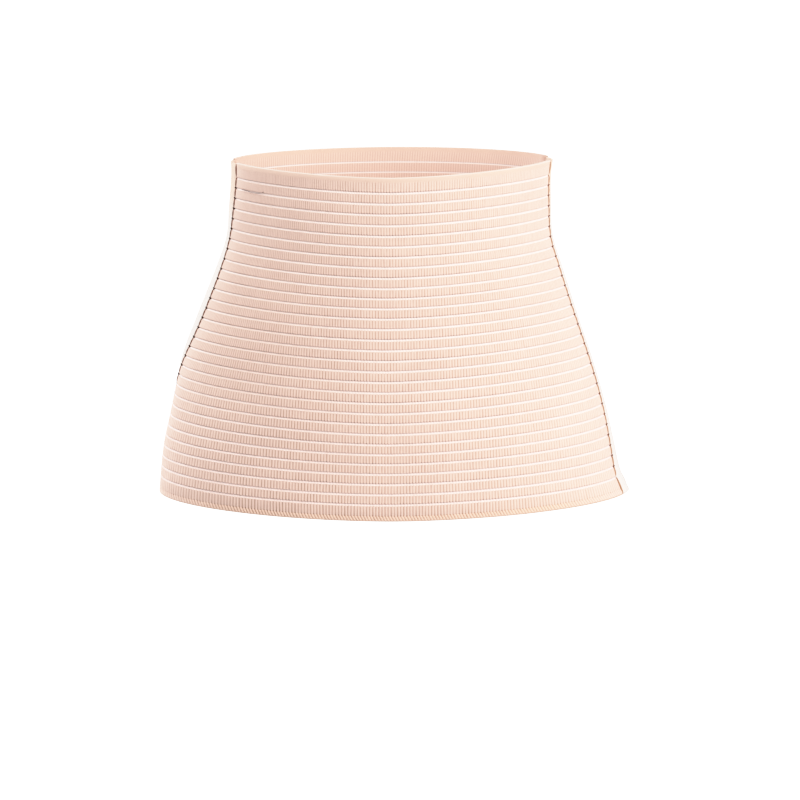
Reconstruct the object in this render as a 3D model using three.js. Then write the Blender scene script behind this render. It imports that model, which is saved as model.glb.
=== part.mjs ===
// Elastic belly belt: two ribbed panels and two side tapes sewn into one loop, held in its worn shape.
// Millimetres, +Z up, the front faces -Y. The origin is on the body's axis at the first vent line, the waist.
import * as THREE from 'three';

// Sizes of the cloth
const BAND_WALL = 2.0;
const VENT_WALL = 0.8;
const VENT_HEIGHT = 1.8;
const VENT_SLOPE = 0.25;
const TAPE_WALL = 1.6;
const TAPE_WIDTH = 30;
const SEAM_GAP = 0.6;

// Places down the cloth are counted in vent lines, from 0 at the top line; the pitch grows a little downwards
const LINE_PITCH = 8.15;
const PITCH_GAIN = 0.0125;
const VENT_LINES = 31;
const TOP_EDGE = -1.5;
const BOTTOM_EDGE = 31.65;
const TAPE_TOP_EDGE = -1.35;

// How finely the walls are faceted
const FRONT_SEGMENTS = 22;
const BACK_SEGMENTS = 15;
const TAPE_SEGMENTS = 3;
const INNER_ROWS = 15;
const TAPE_ROWS = 34;

// Sections of the worn shape, one every third vent line; the first and last lie just off the cloth.
// front_taper draws the section in between the front and the sides, and front_dip lets the front hang lower.
// The seams are angles in degrees from the middle of the front.
const ROW_STEP = 3;
const COLUMNS = [
  'line', 'half_width', 'shift_x', 'front_depth', 'front_taper', 'front_dip',
  'back_depth', 'left_seam', 'right_seam',
];
const SECTIONS = [
  [-3, 129, 3, 80, 0.21, 4.5, 80, 74, 78],
  [0, 127, 1.5, 82, 0.2, 4.5, 76, 74, 79],
  [3, 128, 0.5, 84, 0.2, 5, 75, 75, 79],
  [6, 130, 0, 86, 0.2, 5, 76, 77, 79],
  [9, 137.5, -0.5, 88, 0.19, 5.5, 80, 76, 79],
  [12, 146, -1.5, 91, 0.19, 5.5, 85, 75.5, 79],
  [15, 154.5, -2.5, 94, 0.18, 6.5, 91, 76.5, 80],
  [18, 163, -3, 96, 0.17, 7.5, 97, 80, 80],
  [21, 169.5, -2, 99, 0.15, 7.5, 104, 88, 80],
  [24, 175.5, -1.5, 101, 0.12, 7, 110, 92.5, 79.5],
  [27, 181, -1.5, 102, 0.09, 5.5, 115, 95, 78],
  [30, 185.5, 0, 103, 0.06, 4.5, 118, 97, 76.5],
  [33, 192.5, 5, 104, 0.04, 3.5, 121, 98.5, 75.5],
].map((row) => Object.fromEntries(COLUMNS.map((name, i) => [name, row[i]])));
// The back is drawn in less, and the dip of the front runs out towards the sides by a power of the sine
const BACK_TAPER = 0.05;
const DIP_SHAPE = 1.4;

// The cloth is measured along its sides, so a row drops less where the shape widens
const WAIST_ROW = SECTIONS.findIndex((row) => row.line === 0);
function dropTo(row) {
  const spread = SECTIONS[row].half_width - SECTIONS[row - 1].half_width;
  const middle = (SECTIONS[row].line + SECTIONS[row - 1].line) / 2;
  const length = ROW_STEP * (LINE_PITCH + PITCH_GAIN * middle);
  return Math.sqrt(length ** 2 - spread ** 2);
}
SECTIONS[0].height = 0;
for (let row = 1; row < SECTIONS.length; row += 1) {
  SECTIONS[row].height = SECTIONS[row - 1].height - dropTo(row);
}
const waistHeight = SECTIONS[WAIST_ROW].height;
for (const section of SECTIONS) section.height -= waistHeight;

const radians = (degrees) => (degrees * Math.PI) / 180;

// A column of the table at any line, by a smooth curve through the rows
function pick(name, line) {
  const place = (line - SECTIONS[0].line) / ROW_STEP;
  const row = Math.min(Math.max(Math.floor(place), 0), SECTIONS.length - 2);
  const u = place - row;
  const b = SECTIONS[row][name];
  const c = SECTIONS[row + 1][name];
  const a = row > 0 ? SECTIONS[row - 1][name] : 2 * b - c;
  const d = row + 2 < SECTIONS.length ? SECTIONS[row + 2][name] : 2 * c - b;
  const bend = (2 * a - 5 * b + 4 * c - d) * u * u + (3 * b - a - 3 * c + d) * u * u * u;
  return 0.5 * (2 * b + (c - a) * u + bend);
}

// A point of the cloth's outer face: angle 0 is the middle of the front, 90 the +X side, 180 the back
function outerPoint(line, angle) {
  const sine = Math.sin(radians(angle));
  const cosine = Math.cos(radians(angle));
  const front = cosine > 0;
  const depth = pick(front ? 'front_depth' : 'back_depth', line);
  const taper = front ? pick('front_taper', line) : BACK_TAPER;
  const dip = front ? pick('front_dip', line) * (1 - Math.abs(sine) ** DIP_SHAPE) : 0;
  return new THREE.Vector3(
    pick('shift_x', line) + pick('half_width', line) * sine,
    -depth * cosine * (1 - taper * sine * sine),
    pick('height', line) - dip,
  );
}

// The same point sunk into the wall, along the normal of the outer face, which short steps to each side give
const NORMAL_TURN = 0.5;
const NORMAL_RISE = 0.1;
function sunkPoint(line, angle, sink) {
  const point = outerPoint(line, angle);
  const along = outerPoint(line, angle + NORMAL_TURN).sub(outerPoint(line, angle - NORMAL_TURN));
  const rise = outerPoint(line - NORMAL_RISE, angle).sub(outerPoint(line + NORMAL_RISE, angle));
  return point.addScaledVector(along.cross(rise).normalize(), -sink);
}

// The angle a width of cloth further round a section, walked in short steps; a negative width goes backwards
const WALK_STEP = 0.5;
function walkRound(line, start, width) {
  const step = Math.sign(width) * WALK_STEP;
  let angle = start;
  let left = Math.abs(width);
  for (;;) {
    const length = outerPoint(line, angle).distanceTo(outerPoint(line, angle + step));
    if (length >= left) return angle + (step * left) / length;
    left -= length;
    angle += step;
  }
}

// Edges of the four pieces: the seams and the tapes' far edges, with half the gap on either side
const rightSeam = (line) => pick('right_seam', line);
const leftSeam = (line) => -pick('left_seam', line);
const rightFar = (line) => walkRound(line, rightSeam(line), TAPE_WIDTH);
const leftFar = (line) => walkRound(line, leftSeam(line), -TAPE_WIDTH);
const after = (edge) => (line) => walkRound(line, edge(line), SEAM_GAP / 2);
const before = (edge) => (line) => walkRound(line, edge(line), -SEAM_GAP / 2);
const wholeTurn = (edge) => (line) => edge(line) + 360;

// Rows of the ribbed face, from the bottom up: full height on a band, sunk at each vent strip
function ribbedRows() {
  const half = VENT_HEIGHT / LINE_PITCH / 2;
  const slope = VENT_SLOPE / LINE_PITCH;
  const sink = BAND_WALL - VENT_WALL;
  const rows = [{ line: BOTTOM_EDGE, sink: 0 }];
  for (let vent = VENT_LINES - 1; vent >= 0; vent -= 1) {
    rows.push({ line: vent + half + slope, sink: 0 });
    rows.push({ line: vent + half, sink });
    rows.push({ line: vent - half, sink });
    rows.push({ line: vent - half - slope, sink: 0 });
  }
  rows.push({ line: TOP_EDGE, sink: 0 });
  return rows;
}

// Evenly spaced rows at one depth, from the bottom up to a top edge
function plainRows(count, sink, topEdge) {
  return Array.from({ length: count }, (_, i) => (
    { line: BOTTOM_EDGE + ((topEdge - BOTTOM_EDGE) * i) / (count - 1), sink }
  ));
}

// A closed wall between two edges: an outer and an inner grid, joined along all four sides
function wall(outer, inner, startOf, endOf, segments) {
  const positions = [];
  const faces = [];
  const columns = segments + 1;
  for (const row of [...outer, ...inner]) {
    const start = startOf(row.line);
    const end = endOf(row.line);
    for (let i = 0; i < columns; i += 1) {
      const angle = start + ((end - start) * i) / segments;
      positions.push(...sunkPoint(row.line, angle, row.sink).toArray());
    }
  }
  const at = (row, column) => row * columns + column;
  const quad = (a, b, c, d) => faces.push(a, b, c, a, c, d);
  const innerAt = outer.length;
  for (let i = 0; i < segments; i += 1) {
    for (let r = 0; r + 1 < outer.length; r += 1) {
      quad(at(r, i), at(r, i + 1), at(r + 1, i + 1), at(r + 1, i));
    }
    for (let r = innerAt; r + 1 < innerAt + inner.length; r += 1) {
      quad(at(r, i), at(r + 1, i), at(r + 1, i + 1), at(r, i + 1));
    }
    const outerTop = outer.length - 1;
    const innerTop = innerAt + inner.length - 1;
    quad(at(innerAt, i), at(innerAt, i + 1), at(0, i + 1), at(0, i));
    quad(at(outerTop, i), at(outerTop, i + 1), at(innerTop, i + 1), at(innerTop, i));
  }
  zip(outer, inner, (r) => at(r, 0), (r) => at(innerAt + r, 0), faces, false);
  zip(outer, inner, (r) => at(r, segments), (r) => at(innerAt + r, segments), faces, true);
  const geometry = new THREE.BufferGeometry();
  geometry.setAttribute('position', new THREE.Float32BufferAttribute(positions, 3));
  geometry.setIndex(faces);
  geometry.computeVertexNormals();
  return geometry;
}

// Joins the many rows of the outer grid to the few of the inner one along a side edge
function zip(outer, inner, outerAt, innerAt, faces, turned) {
  let i = 0;
  let j = 0;
  while (i + 1 < outer.length || j + 1 < inner.length) {
    const outerNext = i + 1 < outer.length ? outer[i + 1].line : -Infinity;
    const innerNext = j + 1 < inner.length ? inner[j + 1].line : -Infinity;
    const third = outerNext >= innerNext ? outerAt(i + 1) : innerAt(j + 1);
    const face = [outerAt(i), third, innerAt(j)];
    faces.push(...(turned ? face.reverse() : face));
    if (outerNext >= innerNext) i += 1;
    else j += 1;
  }
}

const elastic = new THREE.MeshStandardMaterial({ color: 0xecd3c3, roughness: 0.9, metalness: 0 });
const tape = new THREE.MeshStandardMaterial({ color: 0xf3ebe0, roughness: 0.85, metalness: 0 });

const belt = new THREE.Group();
belt.name = 'belly_belt';

function add(name, geometry, material) {
  const mesh = new THREE.Mesh(geometry, material);
  mesh.name = name;
  belt.add(mesh);
}

const panelOuter = ribbedRows();
const panelInner = plainRows(INNER_ROWS, BAND_WALL, TOP_EDGE);
const tapeOuter = plainRows(TAPE_ROWS, 0, TAPE_TOP_EDGE);
const tapeInner = plainRows(INNER_ROWS, TAPE_WALL, TAPE_TOP_EDGE);

const front = wall(panelOuter, panelInner, after(leftSeam), before(rightSeam), FRONT_SEGMENTS);
const back = wall(panelOuter, panelInner, after(rightFar), before(wholeTurn(leftFar)), BACK_SEGMENTS);
const rightTape = wall(tapeOuter, tapeInner, after(rightSeam), before(rightFar), TAPE_SEGMENTS);
const leftTape = wall(tapeOuter, tapeInner, after(leftFar), before(leftSeam), TAPE_SEGMENTS);

add('front_panel', front, elastic);
add('back_panel', back, elastic);
add('right_side_tape', rightTape, tape);
add('left_side_tape', leftTape, tape);

export default belt;
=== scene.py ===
# %% [markdown]
# # A ribbed elastic belly belt
# The belt is one loop of cloth in its worn shape: a ribbed front panel, a ribbed back panel and two plain
# tapes that join them at the sides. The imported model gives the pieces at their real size, as walls with a
# groove for each pale strip. This lesson dresses them: it knits the ribs and the vent strips, sews the
# seams and sets the studio.

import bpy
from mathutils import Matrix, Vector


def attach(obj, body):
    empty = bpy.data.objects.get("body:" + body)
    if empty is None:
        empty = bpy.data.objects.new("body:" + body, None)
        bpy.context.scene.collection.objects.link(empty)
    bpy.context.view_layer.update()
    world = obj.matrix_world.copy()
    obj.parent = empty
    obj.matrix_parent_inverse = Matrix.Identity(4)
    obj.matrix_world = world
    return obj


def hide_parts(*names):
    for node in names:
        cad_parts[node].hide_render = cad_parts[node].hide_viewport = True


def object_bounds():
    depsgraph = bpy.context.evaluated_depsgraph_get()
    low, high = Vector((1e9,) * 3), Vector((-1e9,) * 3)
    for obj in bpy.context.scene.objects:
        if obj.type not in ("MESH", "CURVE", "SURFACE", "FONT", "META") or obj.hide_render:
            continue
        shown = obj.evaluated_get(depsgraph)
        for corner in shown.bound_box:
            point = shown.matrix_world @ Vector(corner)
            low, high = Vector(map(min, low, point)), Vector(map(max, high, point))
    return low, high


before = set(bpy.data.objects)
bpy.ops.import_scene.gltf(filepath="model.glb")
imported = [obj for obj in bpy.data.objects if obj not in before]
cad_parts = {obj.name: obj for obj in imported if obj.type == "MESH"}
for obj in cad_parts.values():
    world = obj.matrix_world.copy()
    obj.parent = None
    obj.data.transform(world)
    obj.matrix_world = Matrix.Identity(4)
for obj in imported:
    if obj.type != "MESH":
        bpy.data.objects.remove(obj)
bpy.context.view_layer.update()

import math

import bmesh
import bpy
import numpy as np
from mathutils import Matrix, Quaternion, Vector

print("nodes", sorted(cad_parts))

# %% [markdown]
# ## The worn shape
# Every piece follows the same worn shape, so it comes first. A sculpted form or a cloth simulation could
# give it, but a short table of sections is easier to steer: each row is one level of the cloth, counted
# in vent lines from the top, and a smooth curve runs through the rows. The sizes are those of the solids,
# in millimetres, and the seams are angles in degrees from the middle of the front.

# %% Sections of the worn shape
MM = 0.001
LINE_PITCH = 8.15
PITCH_GAIN = 0.0125
ROW_STEP = 3
COLUMNS = ("line", "half_width", "shift_x", "front_depth", "front_taper", "front_dip",
           "back_depth", "left_seam", "right_seam")
ROWS = [
    (-3, 129, 3, 80, 0.21, 4.5, 80, 74, 78),
    (0, 127, 1.5, 82, 0.2, 4.5, 76, 74, 79),
    (3, 128, 0.5, 84, 0.2, 5, 75, 75, 79),
    (6, 130, 0, 86, 0.2, 5, 76, 77, 79),
    (9, 137.5, -0.5, 88, 0.19, 5.5, 80, 76, 79),
    (12, 146, -1.5, 91, 0.19, 5.5, 85, 75.5, 79),
    (15, 154.5, -2.5, 94, 0.18, 6.5, 91, 76.5, 80),
    (18, 163, -3, 96, 0.17, 7.5, 97, 80, 80),
    (21, 169.5, -2, 99, 0.15, 7.5, 104, 88, 80),
    (24, 175.5, -1.5, 101, 0.12, 7, 110, 92.5, 79.5),
    (27, 181, -1.5, 102, 0.09, 5.5, 115, 95, 78),
    (30, 185.5, 0, 103, 0.06, 4.5, 118, 97, 76.5),
    (33, 192.5, 5, 104, 0.04, 3.5, 121, 98.5, 75.5),
]
BACK_TAPER = 0.05
DIP_SHAPE = 1.4
WAIST_ROW = 1
SECTIONS = dict(zip(COLUMNS, np.array(ROWS, float).T))
between_rows = (SECTIONS["line"][1:] + SECTIONS["line"][:-1]) / 2
slants = ROW_STEP * (LINE_PITCH + PITCH_GAIN * between_rows)
heights = -np.cumsum(np.append(0, np.sqrt(slants**2 - np.diff(SECTIONS["half_width"]) ** 2)))
SECTIONS["height"] = heights - heights[WAIST_ROW]


def pick(column, line):
    """A column of the table at any line, by a smooth curve through its rows."""
    values = SECTIONS[column]
    padded = np.concatenate([[2 * values[0] - values[1]], values, [2 * values[-1] - values[-2]]])
    place = (np.asarray(line, float) - SECTIONS["line"][0]) / ROW_STEP
    row = np.clip(np.floor(place).astype(int), 0, len(values) - 2)
    u = place - row
    a, b, c, d = (padded[row + i] for i in range(4))
    return 0.5 * (2 * b + (c - a) * u + (2 * a - 5 * b + 4 * c - d) * u**2
                  + (3 * b - a - 3 * c + d) * u**3)


def outer_point(line, angle):
    """Points of the cloth's outer face; angle 0 is the middle of the front and 90 the +X side."""
    sine, cosine = np.sin(np.radians(angle)), np.cos(np.radians(angle))
    front = cosine > 0
    depth = np.where(front, pick("front_depth", line), pick("back_depth", line))
    taper = np.where(front, pick("front_taper", line), BACK_TAPER)
    dip = np.where(front, pick("front_dip", line) * (1 - np.abs(sine) ** DIP_SHAPE), 0)
    x = pick("shift_x", line) + pick("half_width", line) * sine
    y = -depth * cosine * (1 - taper * sine**2)
    z = pick("height", line) - dip
    return np.stack(np.broadcast_arrays(x, y, z), axis=-1)


NORMAL_TURN = 0.5
NORMAL_RISE = 0.1


def sunk_point(line, angle, sink):
    """The same points moved into the wall along the outer face's normal, in metres."""
    along = outer_point(line, angle + NORMAL_TURN) - outer_point(line, angle - NORMAL_TURN)
    rise = outer_point(line - NORMAL_RISE, angle) - outer_point(line + NORMAL_RISE, angle)
    normal = np.cross(along, rise)
    normal /= np.linalg.norm(normal, axis=-1, keepdims=True)
    return (outer_point(line, angle) - normal * np.asarray(sink)[..., None]) * MM


# %% [markdown]
# ## Edges of the pieces
# The front panel runs from seam to seam, a tape of fixed width follows on each side, and the back panel
# closes the loop. A small gap at each seam keeps the pieces apart, as sewn edges lie side by side. The
# edges could be given as angles, but an angle means a different width in front and at the sides, so
# widths are walked along the cloth.

# %% Seams and tape edges
TOP_EDGE = -1.5
BOTTOM_EDGE = 31.65
TAPE_TOP_EDGE = -1.35
TAPE_WIDTH = 30
SEAM_GAP = 0.6
REACH = 70
WALK_STEPS = 241
LEFT_BACK, LEFT_FRONT, RIGHT_FRONT, RIGHT_BACK = range(4)


def walked(line, start, end):
    """Angles from start to end on one section, and the length of cloth walked to each."""
    angles = np.linspace(start, end, WALK_STEPS)
    paces = np.linalg.norm(np.diff(outer_point(line, angles), axis=0), axis=1)
    return angles, np.append(0, np.cumsum(paces))


def further(line, start, width):
    """The angle a width of cloth further round a section; a negative width goes backwards."""
    angles, lengths = walked(line, start, start + math.copysign(REACH, width))
    return np.interp(abs(width), lengths, angles)


def seam_angles(line):
    """The four seams of one section in order of angle: left back, left front, right front, right back."""
    left, right = -pick("left_seam", line), pick("right_seam", line)
    return further(line, left, -TAPE_WIDTH), left, right, further(line, right, TAPE_WIDTH)


def seam_to_seam(line, start, end):
    """The walk from one seam to the next, half a gap clear of both."""
    return walked(line, further(line, start, SEAM_GAP / 2), further(line, end, -SEAM_GAP / 2))


for name, level in (("waist", 0), ("lower edge", BOTTOM_EDGE)):
    print(f"{name}: {walked(level, -180, 180)[1][-1]:.0f} mm round")

# %% [markdown]
# ## Rows of the knit
# The cloth is knitted in bands: ribs run up each band, and between two bands lies a thin pale strip of
# open net. Displacement from a texture could raise them, but the strips are under two millimetres tall,
# so real rows of vertices hold them better. Each row says how far it is sunk, how deep the furrows are
# there, how far the furrows' ends draw back, which gives the bands their fine scalloped edges, and
# whether the cloth is creased along it. A strip lies deeper under the band above it than at the band
# below, so its upper edge is shaded, and painted shade darkens it further. The furrows deepen a little
# down the belt, and they notch the upper edge of every second strip more than its neighbours, which
# draws it as a row of dashes that painted shade darkens too.

# %% Rows from the lower edge up
VENT_LINES = 31
VENT_HEIGHT = 1.8
VENT_TOP_SINK = 1.0
VENT_FOOT_SINK = 0.45
VENT_FOOT = 0.55
EDGE_SINK = 0.05
EDGE_SLOPE = 0.2
SHARE_TOP, SHARE_BOTTOM = 0.95, 1.15
DASHES = (1.2, 0.5)
STRIP_FURROW = 0.2
SCALLOP = 0.07
HEM_START = 31.08
KNIT_COLUMNS = ("line", "sink", "furrow_share", "scallop", "crease")
TOP_ROWS = [
    (TOP_EDGE, 0.75, 0, 0, 0),
    (TOP_EDGE + 0.03, 0.2, 0, 0, 0),
    (TOP_EDGE + 0.09, 0.03, 0, 0, 0),
    (TOP_EDGE + 0.38, 0.05, 0.05, 0, 0),
    (TOP_EDGE + 0.5, 0.05, 0.8, 0, 0),
]
HEM_ROWS = [
    (HEM_START - 0.06, 0.05, 1.2, 0, 0),
    (HEM_START, 0.25, 1.5, 0, 1),
    (HEM_START + 0.06, 0.05, 1.2, 0, 0),
    (HEM_START + 0.3, 0, 1.1, 0, 0),
    (HEM_START + 0.42, 0.05, 1.0, 0, 0),
    (HEM_START + 0.5, 0.15, 0.9, 0, 0),
    (BOTTOM_EDGE - 0.03, 0.3, 0.6, 0, 0),
    (BOTTOM_EDGE, 0.8, 0, 0, 0),
]
half_vent = VENT_HEIGHT / LINE_PITCH / 2
vent_foot = VENT_FOOT * half_vent


def knit_rows():
    """All the rows with their five columns, from the lower edge up."""
    slope = EDGE_SLOPE / LINE_PITCH
    rows = TOP_ROWS + HEM_ROWS
    for vent in range(VENT_LINES):
        share = np.interp(vent, (0, VENT_LINES - 1), (SHARE_TOP, SHARE_BOTTOM))
        rows.append((vent - half_vent - slope, EDGE_SINK, share, -SCALLOP, 1))
        rows.append((vent - half_vent, VENT_TOP_SINK, DASHES[vent % 2], -SCALLOP, 1))
        rows.append((vent + vent_foot, VENT_FOOT_SINK, STRIP_FURROW, SCALLOP, 1))
        rows.append((vent + vent_foot + slope, EDGE_SINK, share, SCALLOP, 1))
    return np.array(sorted(rows, reverse=True))


KNIT = dict(zip(KNIT_COLUMNS, knit_rows().T))
print(len(KNIT["line"]), "rows of knit")

# %% [markdown]
# ## Ribs across the cloth
# A rib keeps its number from the top edge to the hem, and the left half of the front has a few more than
# the right. The cloth is stretched least in the middle of the waist and most over the hips, so the ribs
# stand closer at the sides above and further apart below. Copies of one rib could be spread along a
# curve, but numbering them on every row lets their spacing change. One rib has three columns of vertices:
# its furrow and the two shoulders of its crest. Below the hem line the ribs lean over into a twill.

# %% Angles of the ribs
FRONT_RIBS = (86, 82)
BACK_RIBS = (72, 72)
MIDDLE_PITCH_TOP = 2.2
MIDDLE_PITCH_BOTTOM = 2.42
GATHER_POWER = 3
RIB_COLUMNS = (0.0, 0.3, 0.7)
HEM_LEAN = 1.75
LEAN_ENDS = 12


def rib_numbers(counts):
    """The rib number of every column of vertices, from one seam to the other, 0 in the middle."""
    whole = np.arange(-counts[0], counts[1])[:, None] + np.array(RIB_COLUMNS)
    return np.append(whole.ravel(), counts[1])


def seam_share(ribs, counts):
    """How far a rib is from the middle: 0 there, -1 at the left seam and 1 at the right one."""
    return np.where(ribs < 0, ribs / counts[0], ribs / counts[1])


def leaning(ribs, line, counts):
    """Where a rib stands once the twill of the hem has leaned it over; the seam ends stay put."""
    free = 1 - np.abs(seam_share(ribs, counts)) ** LEAN_ENDS
    return ribs + HEM_LEAN * max(0.0, line - HEM_START) * free


def front_angles(line, ribs):
    """The angles of the front panel's ribs on one section, counted both ways from the plane x = 0."""
    _, left, right, _ = seam_angles(line)
    middle = -np.degrees(np.arcsin(pick("shift_x", line) / pick("half_width", line)))
    pitch = np.interp(line, [0, VENT_LINES - 1], [MIDDLE_PITCH_TOP, MIDDLE_PITCH_BOTTOM])
    share = np.linspace(0, 1, WALK_STEPS)
    placed = leaning(ribs, line, FRONT_RIBS)
    angles = np.zeros_like(placed)
    sides = ((left, SEAM_GAP / 2, placed < 0), (right, -SEAM_GAP / 2, placed >= 0))
    for (seam, gap, side), count in zip(sides, FRONT_RIBS):
        bent, lengths = walked(line, middle, further(line, seam, gap))
        spread = lengths[-1] / (pitch * count)
        counted = spread * share + (1 - spread) * share**GATHER_POWER
        walk = np.interp(np.abs(placed[side]) / count, counted, share) * lengths[-1]
        angles[side] = np.interp(walk, lengths, bent)
    return angles


def back_angles(line, ribs):
    """The angles of the back panel's ribs, evenly spread from tape to tape."""
    left, _, _, right = seam_angles(line)
    bent, lengths = seam_to_seam(line, right, left + 360)
    placed = leaning(ribs, line, BACK_RIBS)
    share = (placed + BACK_RIBS[0]) / sum(BACK_RIBS)
    return np.interp(share * lengths[-1], lengths, bent)


# %% [markdown]
# ## Knitting a panel
# A panel is a closed wall: a fine grid outside, a coarser one inside, and rims that bridge them. Solidify
# would copy every fine vertex to the inside, where nobody sees a furrow, so two grids and `bridge_loops`
# cost far less. Each vertex keeps its place in the knit as attributes, because the finish is drawn along
# them: how far across it is, its line, and how deep in a furrow it lies, which is -1 on the inside.

# %% Grids on the worn shape
PLACE_LAYERS = ("across", "line", "furrow")


def cloth_mesh():
    """An empty bmesh whose vertices can keep their place in the knit."""
    bm = bmesh.new()
    for layer in PLACE_LAYERS:
        bm.verts.layers.float.new(layer)
    return bm


def place_grid(bm, points, across, lines, furrows):
    """A grid of vertices moved to the given points, row by row from below."""
    rows, columns = points.shape[:2]
    made = bmesh.ops.create_grid(bm, x_segments=columns - 1, y_segments=rows - 1, size=1.0)["verts"]
    across_layer, line_layer, furrow_layer = (bm.verts.layers.float[layer] for layer in PLACE_LAYERS)
    net = np.empty((rows, columns), dtype=object)
    for vert in made:
        column = round((vert.co.x + 1) / 2 * (columns - 1))
        row = round((vert.co.y + 1) / 2 * (rows - 1))
        vert.co = points[row, column]
        vert[across_layer] = across[column]
        vert[line_layer] = lines[row, column]
        vert[furrow_layer] = furrows[row, column]
        net[row, column] = vert
    return net


def edge_uses(mesh):
    """How many faces meet at each edge."""
    edges = np.zeros(len(mesh.loops), int)
    mesh.loops.foreach_get("edge_index", edges)
    return np.bincount(edges, minlength=len(mesh.edges))


def finished(bm, name):
    """The bmesh as a smooth object at the origin, riding on the belt."""
    bmesh.ops.recalc_face_normals(bm, faces=bm.faces)
    for face in bm.faces:
        face.smooth = True
    mesh = bpy.data.meshes.new(name)
    bm.to_mesh(mesh)
    bm.free()
    piece = bpy.data.objects.new(name, mesh)
    bpy.context.scene.collection.objects.link(piece)
    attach(piece, "root")
    triangles = sum(len(face.vertices) - 2 for face in mesh.polygons)
    open_edges = np.count_nonzero(edge_uses(mesh) != 2)
    print(f"{name}: {triangles} triangles and {open_edges} open edges before any modifier")
    return piece


# %% [markdown]
# ## The two panels
# Knitted ribs are never quite even, so each furrow's depth and place wander a little, by chance numbers
# with a fixed seed. Towards the seams the furrows grow fainter, as the cloth is pulled flat there. The
# rows at a strip's edges and at the hem line are marked sharp, so that they stay crisp on an otherwise
# smooth panel.

# %% Knit both panels
RIB_DEPTH = 0.5
WALL = 2.0
LEAST_WALL = 0.4
INNER_STEP = 12
INSIDE = -1.0
FADE_PLACES = (-1.0, -0.85, -0.5, 0.0, 0.4, 1.0)
FADE_SHARES = (0.3, 0.9, 1.1, 1.0, 1.0, 0.45)
UNEVEN = 0.13
UNEVEN_ENDS = (0.5, 1.5)
WANDER = 0.03
SEED = 7
chance = np.random.default_rng(SEED)


def row_edges(bm, chain):
    """The edges along a chain of vertices."""
    return [bm.edges.get(pair) for pair in zip(chain, chain[1:])]


def in_furrow(ribs):
    """Which columns of vertices lie in a furrow: those with a whole rib number."""
    return ribs == np.round(ribs)


def furrow_depths(ribs, counts, furrow_share):
    """How deep each vertex lies in a furrow: uneven from rib to rib, and fainter towards the seams."""
    fade = np.interp(seam_share(ribs, counts), FADE_PLACES, FADE_SHARES)
    uneven = 1 + UNEVEN * chance.standard_normal((len(furrow_share), len(ribs)))
    return furrow_share[:, None] * in_furrow(ribs) * fade * np.clip(uneven, *UNEVEN_ENDS)


def wandering(ribs, counts, rows):
    """How far each rib strays to the side on each row; the seam ends stay put."""
    strays = WANDER * chance.standard_normal((rows, sum(counts) + 1))
    strays = strays.repeat(len(RIB_COLUMNS), axis=1)[:, :len(ribs)]
    return strays * (np.abs(seam_share(ribs, counts)) < 1)


def knit_panel(name, counts, angles_of):
    """A closed panel: a ribbed grid outside, a plain one inside, and the rims between them."""
    ribs = rib_numbers(counts)
    strays = wandering(ribs, counts, len(KNIT["line"]))
    angles = np.stack([angles_of(level, ribs + stray) for level, stray in zip(KNIT["line"], strays)])
    furrows = furrow_depths(ribs, counts, KNIT["furrow_share"])
    lines = np.broadcast_to(KNIT["line"][:, None], angles.shape)
    scalloped = lines + KNIT["scallop"][:, None] * in_furrow(ribs)
    depth = np.minimum(KNIT["sink"][:, None] + RIB_DEPTH * furrows, WALL - LEAST_WALL)
    few = slice(None, None, INNER_STEP)
    inner_lines = lines[:, few]
    inner_points = sunk_point(inner_lines, angles[:, few], WALL)
    bm = cloth_mesh()
    outer = place_grid(bm, sunk_point(scalloped, angles, depth), ribs, lines, furrows)
    inner = place_grid(bm, inner_points, ribs[few], inner_lines, np.full_like(inner_lines, INSIDE))
    for rim in (np.s_[0], np.s_[-1], np.s_[:, 0], np.s_[:, -1]):
        bmesh.ops.bridge_loops(bm, edges=row_edges(bm, outer[rim]) + row_edges(bm, inner[rim]))
    for chain in outer[KNIT["crease"] == 1]:
        for edge in row_edges(bm, chain):
            edge.smooth = False
    return finished(bm, name)


front = knit_panel("front_ribbed_panel", FRONT_RIBS, front_angles)
back = knit_panel("back_ribbed_panel", BACK_RIBS, back_angles)
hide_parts("front_panel")
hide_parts("back_panel")

# %% [markdown]
# ## Side tapes
# Each tape is a plain woven strip that the panels are sewn to. It is modelled directly, because a strap
# this flat gains nothing from a simulation: a grid is laid on the worn shape, its edges are drawn in a
# little at every stitch, and Solidify gives it its thickness.

# %% Lay the tapes
TAPE_WALL = 1.6
TAPE_COLUMNS = 12
TAPE_ROWS_PER_LINE = 6
PUCKER = 0.35
PUCKER_EDGE = 4
PUCKER_STEADY, PUCKER_WAVE = 0.6, 0.4


def lay_tape(name, first_seam, second_seam):
    """A tape between two seams, with a wall added by a modifier."""
    count = round((BOTTOM_EDGE - TAPE_TOP_EDGE) * TAPE_ROWS_PER_LINE) + 1
    lines = np.linspace(BOTTOM_EDGE, TAPE_TOP_EDGE, count)
    across = np.linspace(0, 1, TAPE_COLUMNS + 1)
    angles = []
    for line in lines:
        seams = seam_angles(line)
        bent, lengths = seam_to_seam(line, seams[first_seam], seams[second_seam])
        angles.append(np.interp(across * lengths[-1], lengths, bent))
    edge = np.abs(2 * across - 1) ** PUCKER_EDGE
    sink = PUCKER * edge * (PUCKER_STEADY + PUCKER_WAVE * np.cos(2 * np.pi * lines[:, None]))
    levels = np.broadcast_to(lines[:, None], sink.shape)
    bm = cloth_mesh()
    points = sunk_point(levels, np.stack(angles), sink)
    place_grid(bm, points, across * TAPE_WIDTH, levels, np.zeros_like(levels))
    piece = finished(bm, name)
    wall = piece.modifiers.new("wall", "SOLIDIFY")
    wall.thickness = TAPE_WALL * MM
    wall.offset = -1
    return piece


left_tape = lay_tape("left_tape", LEFT_BACK, LEFT_FRONT)
right_tape = lay_tape("right_tape", RIGHT_FRONT, RIGHT_BACK)
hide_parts("left_side_tape")
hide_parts("right_side_tape")
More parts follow.
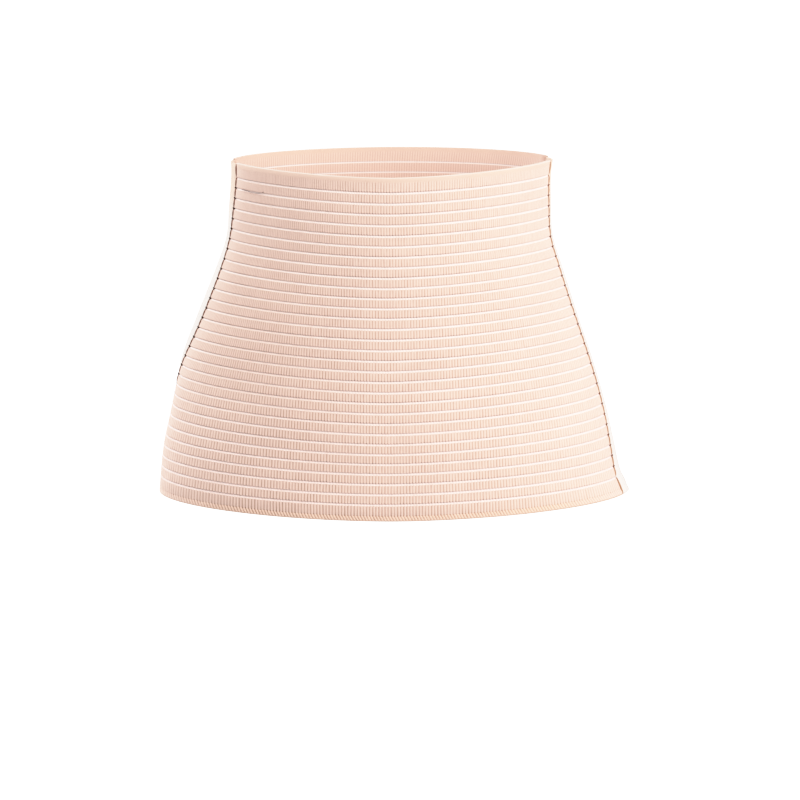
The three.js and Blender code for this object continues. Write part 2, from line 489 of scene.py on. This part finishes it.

# %% [markdown]
# ## Seam stitches
# A thread runs down each seam with one long stitch to a band. Its dark colour is partly painted shade,
# the shade in the narrow gap of the seam. Just above the vent strips, all but the first and the last, a
# small dark bead of painted shade stands for the shadow in a hole of the seam. Curves could draw the
# thread, but short separate stitches read better: each is a small stretched sphere laid along the seam,
# and all the stitches of a seam are one mesh. The thread is pulled deeper into the seams behind, and
# also into the left front seam below the line where that seam turns behind.

# %% Sew the seams
LEFT_SEAM_TURNS = 20.5
SEAMS = {"left_back": (LEFT_BACK, TOP_EDGE), "left_front": (LEFT_FRONT, LEFT_SEAM_TURNS),
         "right_front": (RIGHT_FRONT, BOTTOM_EDGE), "right_back": (RIGHT_BACK, TOP_EDGE)}
STITCH_RADIUS = 0.95
STITCH_SINK = 0.2
STITCH_REST = 0.04
# Painted shade: small dark beads stand for the shadow in the seam's holes just above the strips.
HOLE_SHADE_RADIUS = 1.15
HOLE_SHADE_SINK = 0.2
HOLE_SHADE_LIFT = 0.1
HOLE_SHADE_HALF = 0.1
DEEPER = 0.65
BEAD_SIDES = 8
BEAD_RINGS = 6


def bead(bm, start, end, radius):
    """A sphere stretched from start to end."""
    along = Vector(end) - Vector(start)
    turn = along.to_track_quat("Z", "Y").to_matrix().to_4x4()
    size = Matrix.Diagonal((radius * MM, radius * MM, along.length / 2, 1))
    place = Matrix.Translation((Vector(start) + Vector(end)) / 2) @ turn @ size
    bmesh.ops.create_uvsphere(bm, u_segments=BEAD_SIDES, v_segments=BEAD_RINGS, radius=1.0, matrix=place)


def seam_beads(name, seam, deep_from, spans, radius, sink):
    """One bead for each span of lines down a seam; below a line they lie deeper."""
    bm = bmesh.new()
    for span in spans:
        depth = sink + DEEPER * (span[0] > deep_from)
        ends = [sunk_point(np.array(line), seam_angles(line)[seam], depth) for line in span]
        bead(bm, *ends, radius)
    return finished(bm, name)


hole_shade_lines = np.arange(1, VENT_LINES - 1) - HOLE_SHADE_LIFT
hole_shade_spans = [(line - HOLE_SHADE_HALF, line + HOLE_SHADE_HALF) for line in hole_shade_lines]
stops = [TOP_EDGE, -HOLE_SHADE_LIFT, *hole_shade_lines, VENT_LINES - 1 - HOLE_SHADE_LIFT, BOTTOM_EDGE]
stitch_spans = [(upper + STITCH_REST, lower - STITCH_REST) for upper, lower in zip(stops, stops[1:])]
stitches = {}
hole_shades = {}
for side, place in SEAMS.items():
    stitches[side] = seam_beads(f"{side}_stitches", *place, stitch_spans, STITCH_RADIUS, STITCH_SINK)
    hole_shades[side] = seam_beads(f"{side}_knots", *place, hole_shade_spans, HOLE_SHADE_RADIUS, HOLE_SHADE_SINK)

# %% [markdown]
# ## A loose thread in painted shade
# On the second vent strip a thread has come loose: it sags out of the strip and curls up at its end. It
# is drawn as a thin tube whose greyish brown is painted shade, the shade line along the strip's upper edge
# where it sags. A curve with a bevel could draw it, but small circles that are bridged into a tube give a
# plain closed mesh. The circles stand at a few places that are given as line and angle on the front.

# %% Loose thread
THREAD_RADIUS = 0.25
THREAD_LIFT = 0.35
THREAD_PLACES = [(0.9, -67), (0.95, -63), (0.99, -59), (1.0, -56), (0.96, -54), (0.88, -52.3),
                 (0.78, -51.5)]
TUBE_SIDES = 6


def tube(bm, points, radius):
    """A tube through the points, closed at both ends."""
    rings = []
    for before, point, after in zip([points[0], *points], points, [*points[1:], points[-1]]):
        turn = (after - before).to_track_quat("Z", "Y").to_matrix().to_4x4()
        place = Matrix.Translation(point) @ turn
        made = bmesh.ops.create_circle(bm, segments=TUBE_SIDES, radius=radius, cap_ends=True, matrix=place)
        rings.append(made["verts"])
    for ring in rings[1:-1]:
        caps = [face for face in ring[0].link_faces if len(face.verts) == TUBE_SIDES]
        bmesh.ops.delete(bm, geom=caps, context="FACES_ONLY")
    for first, second in zip(rings, rings[1:]):
        loops = [edge for edge in bm.edges if all(vert in first + second for vert in edge.verts)]
        bmesh.ops.bridge_loops(bm, edges=loops)


thread_bm = bmesh.new()
places = [sunk_point(np.array(line), angle, -THREAD_LIFT) for line, angle in THREAD_PLACES]
tube(thread_bm, [Vector(place) for place in places], THREAD_RADIUS * MM)
loose_thread_shade = finished(thread_bm, "loose_thread_shade")

# %% [markdown]
# ## Node helpers
# The finishes are node trees. A few small helpers keep them readable: one places a node and fills or
# links its inputs, the others do arithmetic, soft steps and blends. All the cloths share one kind of matt
# shader, and each sets its own roughness and sheen.

# %% Place nodes
CLOTH_SPECULAR = 0.15
SHEEN_ROUGHNESS = 0.6


def fill(tree, socket, value):
    """Fill one input: a value that is a socket is linked, and any other is set."""
    if isinstance(value, bpy.types.NodeSocket):
        tree.links.new(value, socket)
    else:
        socket.default_value = value


def put(tree, kind, inputs=(), **settings):
    """A node with its settings, and its inputs given as values or as sockets to link."""
    node = tree.nodes.new(kind)
    for key, value in settings.items():
        setattr(node, key, value)
    for key, value in dict(inputs).items():
        fill(tree, node.inputs[key], value)
    return node


def calc(tree, operation, *values):
    """One step of arithmetic."""
    return put(tree, "ShaderNodeMath", enumerate(values), operation=operation).outputs[0]


def ramp(tree, value, low, high):
    """0 at low, 1 at high, smooth between and level beyond."""
    inputs = {0: value, 1: low, 2: high, 3: 0.0, 4: 1.0}
    return put(tree, "ShaderNodeMapRange", inputs, interpolation_type="SMOOTHSTEP").outputs[0]


def blend(tree, share, first, second, kind="MIX"):
    """A colour between two; the mix node keeps its colours in inputs 6 and 7 and output 2."""
    node = put(tree, "ShaderNodeMix", data_type="RGBA", blend_type=kind)
    for key, value in zip((0, 6, 7), (share, first, second)):
        fill(tree, node.inputs[key], value)
    return node.outputs[2]


def attribute(tree, name):
    """A vertex's place in the knit."""
    return put(tree, "ShaderNodeAttribute", attribute_name=name).outputs["Fac"]


def cloth_material(name, roughness, sheen):
    """A matt cloth: the material, its tree and its Principled node."""
    material = bpy.data.materials.new(name)
    material.use_nodes = True
    shader = material.node_tree.nodes["Principled BSDF"]
    shader.inputs["Roughness"].default_value = roughness
    shader.inputs["Specular IOR Level"].default_value = CLOTH_SPECULAR
    shader.inputs["Sheen Weight"].default_value = sheen
    shader.inputs["Sheen Roughness"].default_value = SHEEN_ROUGHNESS
    return material, material.node_tree, shader


def relief(tree, shader, height, strength, distance):
    """Bump from a height, linked to the shader's normal."""
    bump = put(tree, "ShaderNodeBump", {"Height": height, "Strength": strength, "Distance": distance})
    tree.links.new(bump.outputs[0], shader.inputs["Normal"])


# %% [markdown]
# ## Yarn grain
# All the cloths are spun yarn, which is never one flat colour. A picture of cloth could give that, but
# noise needs no file and never repeats. A shared node group gives a soft patchy shade from two sizes of
# noise and a fine height for the fibres, and each cloth sets its own amount.

# %% The yarn grain group
FIBRE_DETAIL = 3.0
FIBRE_SHARE = 0.6
PATCH_SCALE = 28.0
PATCH_DETAIL = 2.0
PATCH_SHARE = 0.4
NOISE_MIDDLE = 0.5


def yarn_grain_group():
    """The group: Shade swings about 1 by the patchiness, and Height is the fibres alone."""
    group = bpy.data.node_groups.new("yarn_grain", "ShaderNodeTree")
    for name in ("Fibre Scale", "Patchiness"):
        group.interface.new_socket(name, in_out="INPUT", socket_type="NodeSocketFloat")
    for name in ("Shade", "Height"):
        group.interface.new_socket(name, in_out="OUTPUT", socket_type="NodeSocketFloat")
    given = put(group, "NodeGroupInput").outputs
    place = put(group, "ShaderNodeTexCoord").outputs["Object"]
    fibre_inputs = {"Vector": place, "Scale": given["Fibre Scale"], "Detail": FIBRE_DETAIL}
    patch_inputs = {"Vector": place, "Scale": PATCH_SCALE, "Detail": PATCH_DETAIL}
    fibres = put(group, "ShaderNodeTexNoise", fibre_inputs).outputs[0]
    patches = put(group, "ShaderNodeTexNoise", patch_inputs).outputs[0]
    both = calc(group, "MULTIPLY_ADD", fibres, FIBRE_SHARE, calc(group, "MULTIPLY", patches, PATCH_SHARE))
    swing = calc(group, "MULTIPLY", calc(group, "SUBTRACT", both, NOISE_MIDDLE), given["Patchiness"])
    leaving = put(group, "NodeGroupOutput")
    group.links.new(calc(group, "ADD", swing, 1.0), leaving.inputs["Shade"])
    group.links.new(fibres, leaving.inputs["Height"])
    return group


YARN_GRAIN = yarn_grain_group()


def yarn_grain(tree, fibre_scale, patchiness):
    """The grain's outputs for one material."""
    inputs = {"Fibre Scale": fibre_scale, "Patchiness": patchiness}
    return put(tree, "ShaderNodeGroup", inputs, node_tree=YARN_GRAIN).outputs


def paint_yarn(tree, shader, colour, grain):
    """The colour shaded by the grain, linked to the shader."""
    shaded = blend(tree, 1.0, colour, grain["Shade"], "MULTIPLY")
    tree.links.new(shaded, shader.inputs["Base Color"])


# %% [markdown]
# ## Bands and strips of the elastic
# The colour follows the knit, so it is read from the attributes, and no picture is needed: each vertex
# knows its line and its furrow. Masks find where a point is: in a band or down in a strip, and on a crest
# or in a furrow. The net of the strips isn't open everywhere: it is closed in patches along a strip, and
# there it shows the beige yarn. The strips also turn beige over part of the left flank.

# %% Masks of the knit
BAND_ABOVE = (-0.75, -1.2)
BAND_BELOW = (0.35, 0.8)
# The painted shade covers the upper part of a strip, between these places counted in half strips.
STRIP_SHADE = (-0.9, -0.15)
DRAWN_RIB = (0.15, 0.48)
DRAWN_SHARE = 0.6
INSIDE_RAMP = (0.2, 0.8)
NET_ALONG, NET_PER_LINE = 0.3, 1.7
NET_DETAIL = 2.0
NET_RAMP = (0.45, 0.7)
CLOSED_NET = 0.2
# The strips turn beige over part of the left flank, between these ribs and lines.
FLANK_BEIGE = 0.5
FLANK_BEIGE_RIBS = ((-80, -62), (-2, -40))
FLANK_BEIGE_LINES = ((6, 14), (25, 19))


def vent_masks(tree, line):
    """How far a point is in a band, and how far down it is in a vent strip."""
    nearest = calc(tree, "MAXIMUM", calc(tree, "ROUND", line), 0.0)
    past_vent = calc(tree, "SUBTRACT", line, calc(tree, "MINIMUM", nearest, VENT_LINES - 1.0))
    ramps = []
    for low, high in (BAND_ABOVE, BAND_BELOW, STRIP_SHADE):
        ramps.append(ramp(tree, past_vent, low * half_vent, high * half_vent))
    above, below, down_vent = ramps
    return calc(tree, "MAXIMUM", above, below), down_vent


def furrow_mask(tree):
    """How deep a point lies in a furrow, which sets the furrows' painted shade; on the inside, the ribs are
    drawn from the count across as painted shade alone.
    """
    depth, across = attribute(tree, "furrow"), attribute(tree, "across")
    off_middle = calc(tree, "ABSOLUTE", calc(tree, "SUBTRACT", calc(tree, "FRACT", across), 0.5))
    drawn = calc(tree, "MULTIPLY", ramp(tree, off_middle, *DRAWN_RIB), DRAWN_SHARE)
    inside = ramp(tree, depth, INSIDE_RAMP[0] * INSIDE, INSIDE_RAMP[1] * INSIDE)
    shown = calc(tree, "MULTIPLY", drawn, inside)
    return calc(tree, "MAXIMUM", depth, shown)


def between(tree, value, rise, fall):
    """1 between a rise and a fall, and 0 beyond them."""
    return calc(tree, "MULTIPLY", ramp(tree, value, *rise), ramp(tree, value, *fall))


def beige_net(tree, line):
    """Where the strips show the beige yarn: where the net is closed in patches, and over part of the left
    flank.
    """
    across = attribute(tree, "across")
    along = calc(tree, "MULTIPLY_ADD", across, NET_ALONG, calc(tree, "MULTIPLY", line, NET_PER_LINE))
    net_inputs = {"W": along, "Scale": 1.0, "Detail": NET_DETAIL}
    patches = put(tree, "ShaderNodeTexNoise", net_inputs, noise_dimensions="1D").outputs[0]
    patchy = calc(tree, "MULTIPLY", ramp(tree, patches, *NET_RAMP), CLOSED_NET)
    beige_ribs = between(tree, across, *FLANK_BEIGE_RIBS)
    beige_lines = between(tree, line, *FLANK_BEIGE_LINES)
    beige_flank = calc(tree, "MULTIPLY", beige_ribs, beige_lines)
    return calc(tree, "MULTIPLY_ADD", beige_flank, FLANK_BEIGE, patchy)


# %% [markdown]
# ## The ribbed elastic
# The bands have beige crests, and their furrows are painted a darker tan as shade, over the shade of
# their own relief. The strips are whitish, with painted shade under the band above that is darkest on the
# left flank and dashed by the furrows. At the top there is a plain selvedge with a painted highlight along
# its edge. The hem is more tan, apart from its ends by the seams, and painted shade darkens its notches
# where it joins the last band and a rim along its lower edge.

# %% Ribbed elastic
CREST = (0.785, 0.533, 0.438, 1)
# Painted shade: the furrows are painted darker than the crests, over the shade that their relief casts.
FURROW_SHADE = (0.545, 0.318, 0.238, 1)
# Painted highlight: a pale line along the top edge of the selvedge.
TOP_HIGHLIGHT = (0.78, 0.585, 0.49, 1)
SELVEDGE = (0.73, 0.475, 0.373, 1)
VENT_HIGH = (0.97, 0.76, 0.69, 1)
VENT_LOW = (0.97, 0.725, 0.66, 1)
# Painted shade: the upper part of each strip is painted grey as the shade under the band above, darker over
# the left flank and darker still in the furrows' dashes.
VENT_SHADE = (0.6, 0.475, 0.45, 1)
FLANK_SHADE = (0.3, 0.25, 0.245, 1)
VENT_DASH_SHADE = (0.26, 0.17, 0.14, 1)
HEM_CREST = (0.79, 0.515, 0.39, 1)
# Painted shade: the hem's furrows are painted darker than its crests.
HEM_FURROW_SHADE = (0.5, 0.275, 0.195, 1)
# Painted shade: a darker rim along the hem's lower edge.
HEM_RIM_SHADE = (0.58, 0.375, 0.285, 1)
# Painted shade: dark notches in the furrows where the hem joins the last band.
JUNCTION_SHADE = (0.39, 0.21, 0.145, 1)
VENT_CHANGE = (14.0, 28.0)
SHADED_FLANK = (-40, -72)
PLAIN_HEM = (50, 78)
HEM_SOFTNESS = 0.04
JUNCTION_RAMP = (0.02, 0.09)
TOP_HIGHLIGHT_RAMP = (0.04, 0.12)
SELVEDGE_RAMP = (0.6, 0.35)
HEM_RIM_SHADE_RAMP = (-0.16, -0.09)


def past_edge(tree, line, edge, places):
    """A ramp between two places that are counted in lines from an edge."""
    return ramp(tree, line, edge + places[0], edge + places[1])


def knit_colour(tree, line, furrow):
    """The colour of the bands, the selvedge and the hem, with painted shade in the furrows, the junction
    and the lower rim, and a painted highlight on the top edge.
    """
    by_seam = ramp(tree, calc(tree, "ABSOLUTE", attribute(tree, "across")), *PLAIN_HEM)
    below_hem_line = past_edge(tree, line, HEM_START, (-HEM_SOFTNESS, HEM_SOFTNESS))
    hem = calc(tree, "MULTIPLY", below_hem_line, calc(tree, "SUBTRACT", 1.0, by_seam))
    from_junction = calc(tree, "ABSOLUTE", calc(tree, "SUBTRACT", line, HEM_START))
    off_junction = ramp(tree, from_junction, *JUNCTION_RAMP)
    crest = blend(tree, hem, CREST, HEM_CREST)
    deep = blend(tree, off_junction, JUNCTION_SHADE, blend(tree, hem, FURROW_SHADE, HEM_FURROW_SHADE))
    selvedge = blend(tree, past_edge(tree, line, TOP_EDGE, TOP_HIGHLIGHT_RAMP), TOP_HIGHLIGHT, SELVEDGE)
    on_selvedge = past_edge(tree, line, TOP_EDGE, SELVEDGE_RAMP)
    knit = blend(tree, on_selvedge, blend(tree, furrow, crest, deep), selvedge)
    return blend(tree, past_edge(tree, line, BOTTOM_EDGE, HEM_RIM_SHADE_RAMP), knit, HEM_RIM_SHADE)


def strip_colour(tree, line, furrow, down_vent):
    """The colour of the strips, with painted shade under the band above."""
    vent = blend(tree, ramp(tree, line, *VENT_CHANGE), VENT_HIGH, VENT_LOW)
    vent = blend(tree, beige_net(tree, line), vent, CREST)
    flank = ramp(tree, attribute(tree, "across"), *SHADED_FLANK)
    shade = blend(tree, furrow, blend(tree, flank, VENT_SHADE, FLANK_SHADE), VENT_DASH_SHADE)
    return blend(tree, down_vent, shade, vent)


def ribbed_elastic():
    """The finish of both panels."""
    material, tree, shader = cloth_material("ribbed_elastic", roughness=0.9, sheen=0.2)
    line = attribute(tree, "line")
    furrow = furrow_mask(tree)
    in_band, down_vent = vent_masks(tree, line)
    strips = strip_colour(tree, line, furrow, down_vent)
    cloth = blend(tree, in_band, strips, knit_colour(tree, line, furrow))
    grain = yarn_grain(tree, fibre_scale=900.0, patchiness=0.25)
    paint_yarn(tree, shader, cloth, grain)
    relief(tree, shader, grain["Height"], strength=0.35, distance=0.0004)
    return material


ELASTIC = ribbed_elastic()
for panel in (front, back):
    panel.data.materials.append(ELASTIC)

# %% [markdown]
# ## The plain tape and the threads
# The tape is a close plain weave of pale cream yarn, a little more beige at its top end. Two crossed
# waves over its own width and length make the over and under of the threads, which costs no vertex, and
# the threads are painted darker as shade where they pass under. The sewing thread is painted dark brown
# on the left as shade and tan on the right as light. The beads in the seams' holes are painted shade,
# nearly black on the left and dark brown on the right, and the loose thread's greyish brown is painted
# shade as well.

# %% Woven tape and threads
TAPE_CREAM = (0.8, 0.71, 0.65, 1)
TAPE_BEIGE = (0.8, 0.56, 0.44, 1)
# Painted shade: the threads are painted darker where they pass under in the weave.
TAPE_UNDER_SHADE = (0.55, 0.42, 0.34, 1)
TAPE_CHANGE = (1.0, 5.0)
UNDER_SHADE_RAMP = (0.6, -1.0)
UNDER_SHADE_SHARE = 0.35
THREADS_PER_MM = 0.9


def woven_tape():
    """The finish of both tapes."""
    material, tree, shader = cloth_material("woven_tape", roughness=0.88, sheen=0.05)
    line = attribute(tree, "line")
    across = calc(tree, "MULTIPLY", attribute(tree, "across"), THREADS_PER_MM * math.pi)
    down = calc(tree, "MULTIPLY", line, LINE_PITCH * THREADS_PER_MM * math.pi)
    weave = calc(tree, "MULTIPLY", calc(tree, "SINE", across), calc(tree, "SINE", down))
    yarn = blend(tree, ramp(tree, line, *TAPE_CHANGE), TAPE_BEIGE, TAPE_CREAM)
    under = calc(tree, "MULTIPLY", ramp(tree, weave, *UNDER_SHADE_RAMP), UNDER_SHADE_SHARE)
    grain = yarn_grain(tree, fibre_scale=1200.0, patchiness=0.12)
    paint_yarn(tree, shader, blend(tree, under, yarn, TAPE_UNDER_SHADE), grain)
    relief(tree, shader, calc(tree, "ADD", weave, grain["Height"]), strength=0.5, distance=0.0003)
    return material


def spun_thread(name, colour):
    """The finish of one kind of thread."""
    material, tree, shader = cloth_material(name, roughness=0.8, sheen=0.0)
    grain = yarn_grain(tree, fibre_scale=1500.0, patchiness=0.5)
    paint_yarn(tree, shader, colour, grain)
    relief(tree, shader, grain["Height"], strength=0.5, distance=0.0003)
    return material


TAPE = woven_tape()
# One sewing thread, painted dark brown on the left as shade and tan on the right as light; the dark brown
# also paints the shadow in the right seams' holes.
THREAD_AND_HOLE_SHADE = spun_thread("thread_and_hole_shade", (0.17, 0.075, 0.05, 1))
LIT_THREAD = spun_thread("thread_painted_light", (0.35, 0.18, 0.1, 1))
# Painted shade: near-black beads for the shadow in the left seams' holes.
HOLE_SHADE = spun_thread("painted_hole_shade", (0.045, 0.018, 0.012, 1))
# Painted shade: the loose thread's greyish brown is the shade line of the sagging strip.
LOOSE_SHADE = spun_thread("painted_loose_shade", (0.2, 0.14, 0.125, 1))
left_sides = ("left_back", "left_front")
right_sides = ("right_front", "right_back")
for tape in (left_tape, right_tape):
    tape.data.materials.append(TAPE)
finishes = [(loose_thread_shade, LOOSE_SHADE)]
finishes += [(stitches[side], THREAD_AND_HOLE_SHADE) for side in left_sides]
finishes += [(stitches[side], LIT_THREAD) for side in right_sides]
finishes += [(hole_shades[side], HOLE_SHADE) for side in left_sides]
finishes += [(hole_shades[side], THREAD_AND_HOLE_SHADE) for side in right_sides]
for piece, material in finishes:
    piece.data.materials.append(material)

# %% [markdown]
# ## What the cloth was before it was worn
# The panels are cut as rectangles of relaxed elastic and worn stretched, and the tapes are cut to the
# height of the belt.

# %% [markdown]
# ## The studio
# The belt is shown as on a shop's page: a pale floor that glows into white behind it, a soft key light
# low on the right, a weaker one above that shades the strips under the bands, and a cool one from the
# left that brightens that contour. A white backdrop could stand behind the belt, but a glowing floor
# needs no edge. The belt hangs in the air, because it is held up where it is worn.

# %% Floor
FLOOR_DROP = 0.4
FLOOR_SIZE = 40
FLOOR_GREY = 0.65
FLOOR_GLOW = 1.6
GLOW_RAMP = (0.1, 0.6)
floor_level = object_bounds()[0].z - FLOOR_DROP
floor_bm = bmesh.new()
bmesh.ops.create_grid(floor_bm, x_segments=1, y_segments=1, size=FLOOR_SIZE,
                      matrix=Matrix.Translation((0, 0, floor_level)))
floor_mesh = bpy.data.meshes.new("floor")
floor_bm.to_mesh(floor_mesh)
floor_bm.free()
floor = bpy.data.objects.new("floor", floor_mesh)
bpy.context.scene.collection.objects.link(floor)

paint = bpy.data.materials.new("floor_paint")
paint.use_nodes = True
paint_tree = paint.node_tree
paint_shader = paint_tree.nodes["Principled BSDF"]
paint_shader.inputs["Base Color"].default_value = (FLOOR_GREY, FLOOR_GREY, FLOOR_GREY, 1)
paint_shader.inputs["Roughness"].default_value = 1.0
paint_shader.inputs["Specular IOR Level"].default_value = 0.0
paint_shader.inputs["Emission Color"].default_value = (1, 1, 1, 1)
floor_place = put(paint_tree, "ShaderNodeTexCoord").outputs["Object"]
behind = put(paint_tree, "ShaderNodeSeparateXYZ", {0: floor_place}).outputs[1]
floor_glow = calc(paint_tree, "MULTIPLY", ramp(paint_tree, behind, *GLOW_RAMP), FLOOR_GLOW)
paint_tree.links.new(floor_glow, paint_shader.inputs["Emission Strength"])
floor_mesh.materials.append(paint)

# %% Lights
BELT_MIDDLE = Vector((0, 0, -0.134))
WORLD_GLOW = 0.545
COOL = (0.9, 0.96, 1.0)
WHITE = (1.0, 1.0, 1.0)


def soft_light(name, azimuth, elevation, distance, size, watts, colour=WHITE):
    """A square area light that looks at the belt; azimuth 0 is the camera's side and 90 the +X side."""
    light = bpy.data.lights.new(name, "AREA")
    light.size = size
    light.energy = watts
    light.color = colour
    lamp = bpy.data.objects.new(name, light)
    turn, lift = math.radians(azimuth), math.radians(elevation)
    away = Vector((math.sin(turn) * math.cos(lift), -math.cos(turn) * math.cos(lift), math.sin(lift)))
    lamp.location = BELT_MIDDLE + away * distance
    lamp.rotation_mode = "QUATERNION"
    lamp.rotation_quaternion = (-away).to_track_quat("-Z", "Y")
    bpy.context.scene.collection.objects.link(lamp)


soft_light("key", azimuth=50, elevation=18, distance=2.2, size=1.2, watts=48.5)
soft_light("top", azimuth=-10, elevation=66, distance=2.0, size=1.4, watts=21)
soft_light("rim", azimuth=-105, elevation=26, distance=2.0, size=1.4, watts=37.5, colour=COOL)
world = bpy.data.worlds.new("studio")
world.use_nodes = True
glow = world.node_tree.nodes["Background"]
glow.inputs["Color"].default_value = (1, 1, 1, 1)
glow.inputs["Strength"].default_value = WORLD_GLOW
bpy.context.scene.world = world

# %% [markdown]
# ## Soft highlights
# The right of the belt is lit almost to white and still shows its bands. A plain tone curve would cut
# them off, so a curve through a few points bends the highlights gently into white. Each point is light in
# and light out.

# %% Tone curve
TONE = [(0.0, 0.0), (0.55, 0.548), (0.9, 0.815), (1.1, 0.905), (1.35, 0.97), (1.6, 1.0)]
COMBINED_CURVE = 3
view = bpy.context.scene.view_settings
view.view_transform = "Standard"
view.use_curve_mapping = True
view.curve_mapping.clip_max_x = TONE[-1][0]
tone_points = view.curve_mapping.curves[COMBINED_CURVE].points
tone_points[-1].location = TONE[-1]
for light_in, light_out in TONE[1:-1]:
    tone_points.new(light_in, light_out)
view.curve_mapping.update()

# %% [markdown]
# ## The camera
# The picture seems taken from about three metres with a long lens, a little above the belt. The belt sits
# above the middle of the frame, so the camera aims below it, by pixels of the picture.

# %% Camera
CAMERA_DISTANCE = 3.05
CAMERA_LIFT = 10
LENS = 171.6
ROLL = -0.29
METRES_PER_PIXEL = 0.0008
AIM_RIGHT, AIM_DOWN = 9.5, 59.5

lift = math.radians(CAMERA_LIFT)
to_camera = Vector((0, -math.cos(lift), math.sin(lift)))
right = Vector((1, 0, 0))
up = to_camera.cross(right)
aim = BELT_MIDDLE + (right * AIM_RIGHT - up * AIM_DOWN) * METRES_PER_PIXEL
lens = bpy.data.cameras.new("camera")
lens.lens = LENS
camera = bpy.data.objects.new("camera", lens)
camera.location = BELT_MIDDLE + to_camera * CAMERA_DISTANCE
camera.rotation_mode = "QUATERNION"
looking = (aim - camera.location).to_track_quat("-Z", "Y")
camera.rotation_quaternion = looking @ Quaternion((0, 0, 1), math.radians(ROLL))
bpy.context.scene.collection.objects.link(camera)
bpy.context.scene.camera = camera
